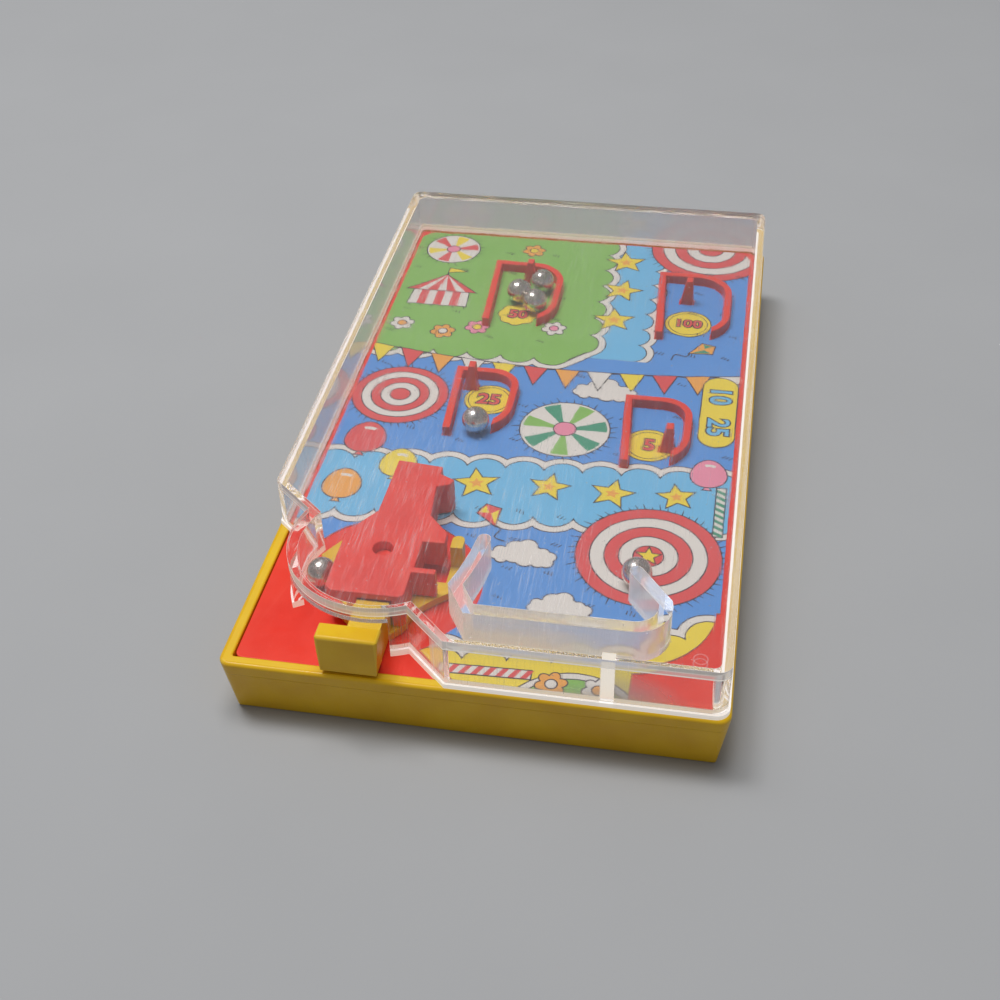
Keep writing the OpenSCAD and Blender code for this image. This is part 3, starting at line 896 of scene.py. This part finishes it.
def kite(cx, cy, size, turn, colours, sheet):
    tip = turned([(cx, cy - size), (cx + size * 0.62, cy + size * 0.2), (cx, cy + size * 0.75),
                  (cx - size * 0.62, cy + size * 0.2)], cx, cy, turn)
    outlined(colours[0], tip, sheet)
    ink(colours[1], grow([tip[0], tip[1], (cx, cy)], -0.12), sheet + 2)
    ink(colours[1], grow([tip[2], tip[3], (cx, cy)], -0.12), sheet + 2)
    tail = [(cx, cy - size - 0.5 * i) for i in range(9)]
    tail = turned([(x + 0.7 * math.sin(i * 0.9), y) for i, (x, y) in enumerate(tail)], cx, cy, turn)
    stroke(tail, inkLook["tail"], "inkDark", sheet)


def pinwheel(cx, cy, radius, colours, blades, sheet):
    outlined("inkWhite", disc(cx, cy, radius), sheet)
    for i in range(blades):
        turn = 360 * i / blades
        blade = [(cx, cy)] + arc(cx, cy, radius * 0.96, turn, turn + 180 / blades, 5)
        ink(colours[i % len(colours)], grow(blade, -0.08), sheet + 2)
    outlined("inkPink", disc(cx, cy, radius * 0.24), sheet + 3)


def pennants(first, last, sag, count, colours, sheet):
    # triangular flags on a hanging string
    def hang(share):
        x = first[0] + (last[0] - first[0]) * share
        return (x, first[1] + (last[1] - first[1]) * share - sag * 4 * share * (1 - share))
    stroke([hang(i / 30) for i in range(31)], inkLook["string"], "inkDark", sheet)
    for i in range(count):
        start = hang((i + 0.14) / count)
        end = hang((i + 0.86) / count)
        tip = ((start[0] + end[0]) / 2 + 0.3, (start[1] + end[1]) / 2 - 5.2)
        outlined(colours[i % len(colours)], [start, tip, end], sheet + 1)


def number(text, cx, cy, size, turn, colour, sheet):
    # plain score number, dark rim under the coloured digits
    for name, rim, level in (("inkDark", 0.24, sheet), (colour, 0.0, sheet + 1)):
        letters = bpy.data.curves.new("score" + text, "FONT")
        letters.body = text
        letters.size = size * mm
        letters.align_x = "CENTER"
        letters.align_y = "CENTER"
        letters.offset = (rim + size * 0.018) * mm
        letters.extrude = inkLook["sheet"] * mm / 2
        letters.resolution_u = 6
        model = bpy.data.objects.new("letters", letters)
        bpy.context.scene.collection.objects.link(model)
        bpy.context.view_layer.update()
        shape = bpy.data.meshes.new_from_object(model.evaluated_get(bpy.context.evaluated_depsgraph_get()))
        height = (cardTop + (level - 0.5) * inkLook["sheet"]) * mm
        turning = Matrix.Rotation(math.radians(turn), 4, "Z")
        shape.transform(Matrix.Translation((cx * mm, cy * mm, height)) @ turning)
        part = bmesh.new()
        part.from_mesh(shape)
        bmesh.ops.remove_doubles(part, verts=part.verts, dist=1e-7)
        numberShapes.setdefault(name, []).append(part)
        bpy.data.objects.remove(model)
        bpy.data.meshes.remove(shape)


printLayout = {
    # places and sizes in mm from the middle of the card
    "targets": ((21.5, -32, 10.8, 1.7), (25, 60, 11.5, 0), (-24.6, 3.2, 8.2, 0)),
    "targetColours": ("inkRed", "inkWhite", "inkRed", "inkWhite", "inkRed"),
    "pinwheels": ((4.8, -2.6, 7.4, ("inkJade", "inkGreen"), 7, 38, 7),
                  (-25.5, 53.5, 5.2, ("inkRed", "inkYellow"), 6, 28, 9)),
    "pennants": ((-34, 18.5), (34, 17), 3.2, 12, ("inkYellow", "inkRed", "inkOrange", "inkWhite"), 10),
    "balloons": ((-27.5, -9.5, 3.3, "inkRed"), (-20.5, -15.5, 2.9, "inkYellow"),
                 (-28.2, -22, 3.0, "inkOrange"), (29, -11, 2.8, "inkPink")),
    "stars": ((9, 53, 3.7, 8), (9.4, 42.5, 3.6, -10), (9, 32, 3.7, 5), (-7, -18.8, 3.6, 12),
              (4.5, -18, 3.2, -6), (14.5, -18.2, 3.4, -8), (24.5, -17.6, 3.0, 10)),
    "flowers": ((-29.5, 25.5, "inkWhite", "inkOrange"), (-15.5, 26, "inkPink", "inkYellow"),
                (-21.5, 23.8, "inkOrange", "inkWhite"), (-1.5, 27.5, "inkWhite", "inkPink"),
                (-9.5, 55, "inkOrange", "inkYellow"), (11, -58.4, "inkOrange", "inkWhite"),
                (17.4, -58.6, "inkWhite", "inkOrange")),
    "flowerRadius": 2.2,
    "clouds": ((3, -34, 3.0), (10, -44.5, 2.8), (10, 9.6, 3.3)),
    "tent": (-24.6, 32.6, 13, 12, ("inkWhite", "inkRed", "inkYellow"), 12),
    "kites": ((-3.5, -25.8, 3.0, 24, ("inkRed", "inkYellow"), 10),
              (26, 24.5, 2.9, -58, ("inkOrange", "inkJade"), 10)),
    "poles": (((-4, -57.6), (8, -57.2), 1.5, 7, ("inkWhite", "inkRed"), 11),
              ((31.3, -14.5), (31.3, -26), 1.3, 8, ("inkWhite", "inkJade"), 10)),
    "scores": ((-9.2, 3.8, "25", 4.1), (22.5, 32.5, "100", 3.4), (19, -5, "5", 4.1)),
}


def drawFields():
    ink("inkBlue", [(-34, -61), (34, -61), (34, 61), (-34, 61)], 1)
    # green lawn over the back left, light water beside it and in a band across the middle
    scallopField("inkSky", [((13, 19), (14, 61), 8)], [(2, 61), (2, 19)], 2)
    scallopField("inkGreen", [((-34, 19), (2.5, 19), 6), ((4, 20.5), (4, 61), 7)], [(-34, 61)], 6)
    penTicks([(-32 + 9.3 * i + 2 * math.sin(k), 23 + 7.6 * k) for k in range(5) for i in range(4)], 11)
    penTicks([(17.5 + 5.8 * i + 1.2 * math.sin(2 * k), 22 + 7.1 * k) for k in range(5) for i in range(3)], 11)
    penTicks([(-30 + 8.7 * i, -7 + 9.6 * k + 1.3 * math.sin(2.2 * i)) for k in range(3) for i in range(8)], 6)
    penTicks([(-6 + 6.4 * i, -25 - 6.4 * k + math.sin(3 * i)) for k in range(4) for i in range(5)], 6)
    scallopField("inkSky", [((-34, -27), (34, -22), 11), ((34, -14), (-34, -17), 11)], [], 2)
    # sand coloured ground at the front, with a lawn in its right corner
    scallopField("inkYellow", [((34, -46), (24, -53), 2), ((23, -54.5), (-8, -57.5), 5)],
                 [(-8, -62), (34, -62)], 2)
    lawn = (("inkDark", 10.2, 6), ("inkWhite", 10, 7), ("inkDark", 9.1, 8), ("inkGreen", 8.9, 9))
    for colour, radius, level in lawn:
        ink(colour, arc(14.5, -66, radius, 20, 160, 14), level)


def drawMotifs(layout):
    for x, y, radius, heart in layout["targets"]:
        targetRings(x, y, radius, layout["targetColours"], 6)
        if heart:
            outlined("inkYellow", star(x, y, heart), 16)
    for x, y, radius, colours, blades, hatches, level in layout["pinwheels"]:
        hatchRound(x, y, radius, hatches, level)
        pinwheel(x, y, radius, colours, blades, level + 1)
    pennants(*layout["pennants"])
    for x, y, size, colour in layout["balloons"]:
        balloon(x, y, size, colour, 8)
    for x, y, radius, turn in layout["stars"]:
        outlined("inkYellow", star(x, y, radius, turn), 10)
        ink("inkOrange", star(x, y, radius * 0.36, turn), 12)
    for x, y, colour, heart in layout["flowers"]:
        flower(x, y, layout["flowerRadius"], colour, heart, 10)
    for x, y, size in layout["clouds"]:
        cloud(x, y, size, 8)
    tent(*layout["tent"])
    for one in layout["kites"]:
        kite(*one)
    for one in layout["poles"]:
        stripedPole(*one)


def drawScores(layout):
    # an upright plate with two numbers, then one round plate for each catcher
    outlined("inkYellow", arc(29.6, 13, 2.9, 0, 180, 12) + arc(29.6, -1, 2.9, 180, 360, 12), 14)
    number("10", 29.6, 10.5, 5, -90, "inkSky", 16)
    number("25", 29.6, 1.5, 5, -90, "inkSky", 16)
    outlined("inkYellow", lobes(-8.8, 31.3, 3.6, 8, 0.1), 10)
    number("50", -8.8, 31.3, 3.6, 0, "inkRed", 12)
    for x, y, text, size in layout["scores"]:
        outlined("inkYellow", disc(x, y, 4.1), 8)
        ink("inkDark", disc(x, y, 3.6), 10)
        ink("inkYellow", disc(x, y, 3.45), 11)
        number(text, x, y, size, 0, "inkRed", 12)


def finishPrint():
    # every colour becomes one piece
    for name, shape in inkMeshes.items():
        mesh = bpy.data.meshes.new(name)
        for part in numberShapes.get(name, []):
            extra = bpy.data.meshes.new("extra")
            part.to_mesh(extra)
            shape.from_mesh(extra)
            bpy.data.meshes.remove(extra)
        shape.to_mesh(mesh)
        mesh.materials.append(inkMaterials[name])
        for face in mesh.polygons:
            face.material_index = 0
            face.use_smooth = False
        piece = bpy.data.objects.new(name, mesh)
        bpy.context.scene.collection.objects.link(piece)
        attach(piece, "case")
        print(name, len(mesh.polygons), "faces")
    bpy.data.objects.remove(cardCutter)
    bpy.data.objects.remove(inkStencil)


drawFields()
drawMotifs(printLayout)
drawScores(printLayout)
finishPrint()
dress("printed_card", printedPaper("cardBoard", inkLook["card"], paperLook))
print("playfield printed")

# Studio

studioLook = {
    "floor": srgb(168, 169, 171),
    "floorSize": 6,
    "floorDark": 0.97,
    "floorGloss": 0.85,
    "sky": 0.22,
    "lamps": {
        # place and width in metres, watts, and whether shiny surfaces mirror the lamp
        "keyLamp": {"place": (-0.05, 0.06, 0.9), "size": 0.4, "power": 4.2, "mirrored": False},
        "sideLamp": {"place": (-0.34, 0.12, 0.84), "size": 0.24, "power": 2.9, "mirrored": True},
    },
}


def makeStudio(look):
    bpy.ops.mesh.primitive_plane_add(size=look["floorSize"], location=(0, 0, 0))
    floor = bpy.context.object
    floor.name = "studioFloor"
    material, tree, shader = startMaterial("floorPaper")
    tone = spread(tree, noise(tree, 40, 3), 0.3, 0.7)
    darker = tuple(channel * look["floorDark"] for channel in look["floor"][:3]) + (1.0,)
    tree.links.new(blendColours(tree, tone, darker, look["floor"]), shader.inputs["Base Color"])
    shader.inputs["Roughness"].default_value = look["floorGloss"]
    floor.data.materials.append(material)
    world = bpy.data.worlds.new("softSky")
    world.use_nodes = True
    background = world.node_tree.nodes["Background"]
    background.inputs["Strength"].default_value = look["sky"]
    background.inputs["Color"].default_value = (1.0, 1.0, 1.0, 1.0)
    bpy.context.scene.world = world
    for name, setting in look["lamps"].items():
        light = bpy.data.lights.new(name, "AREA")
        light.shape = "SQUARE"
        light.size = setting["size"]
        light.energy = setting["power"]
        lamp = bpy.data.objects.new(name, light)
        lamp.location = setting["place"]
        lamp.rotation_euler = (-Vector(setting["place"])).to_track_quat("-Z", "Y").to_euler()
        lamp.visible_glossy = setting["mirrored"]
        lamp.visible_transmission = setting["mirrored"]
        bpy.context.scene.collection.objects.link(lamp)


makeStudio(studioLook)

# Camera where the photograph was taken from

cameraLook = {
    # place and target in mm, tilt in degrees
    "place": (30.348, -189.116, 150.254),
    "target": (-2.745, -21.529, 9.8),
    "tilt": 1.574,
    "lens": 50.752,
}


def makeCamera(look):
    camera = bpy.data.objects.new("photoCamera", bpy.data.cameras.new("photoCamera"))
    camera.data.sensor_width = 36
    camera.data.lens = look["lens"]
    camera.data.clip_start = 0.01
    camera.location = Vector(look["place"]) * mm
    sight = (Vector(look["target"]) - Vector(look["place"])).to_track_quat("-Z", "Y")
    camera.rotation_mode = "QUATERNION"
    tilt = Matrix.Rotation(-math.radians(look["tilt"]), 4, "Z").to_quaternion()
    camera.rotation_quaternion = sight @ tilt
    bpy.context.scene.collection.objects.link(camera)
    bpy.context.scene.camera = camera


makeCamera(cameraLook)
bpy.context.scene.view_settings.view_transform = "Standard"
print("studio and camera made")
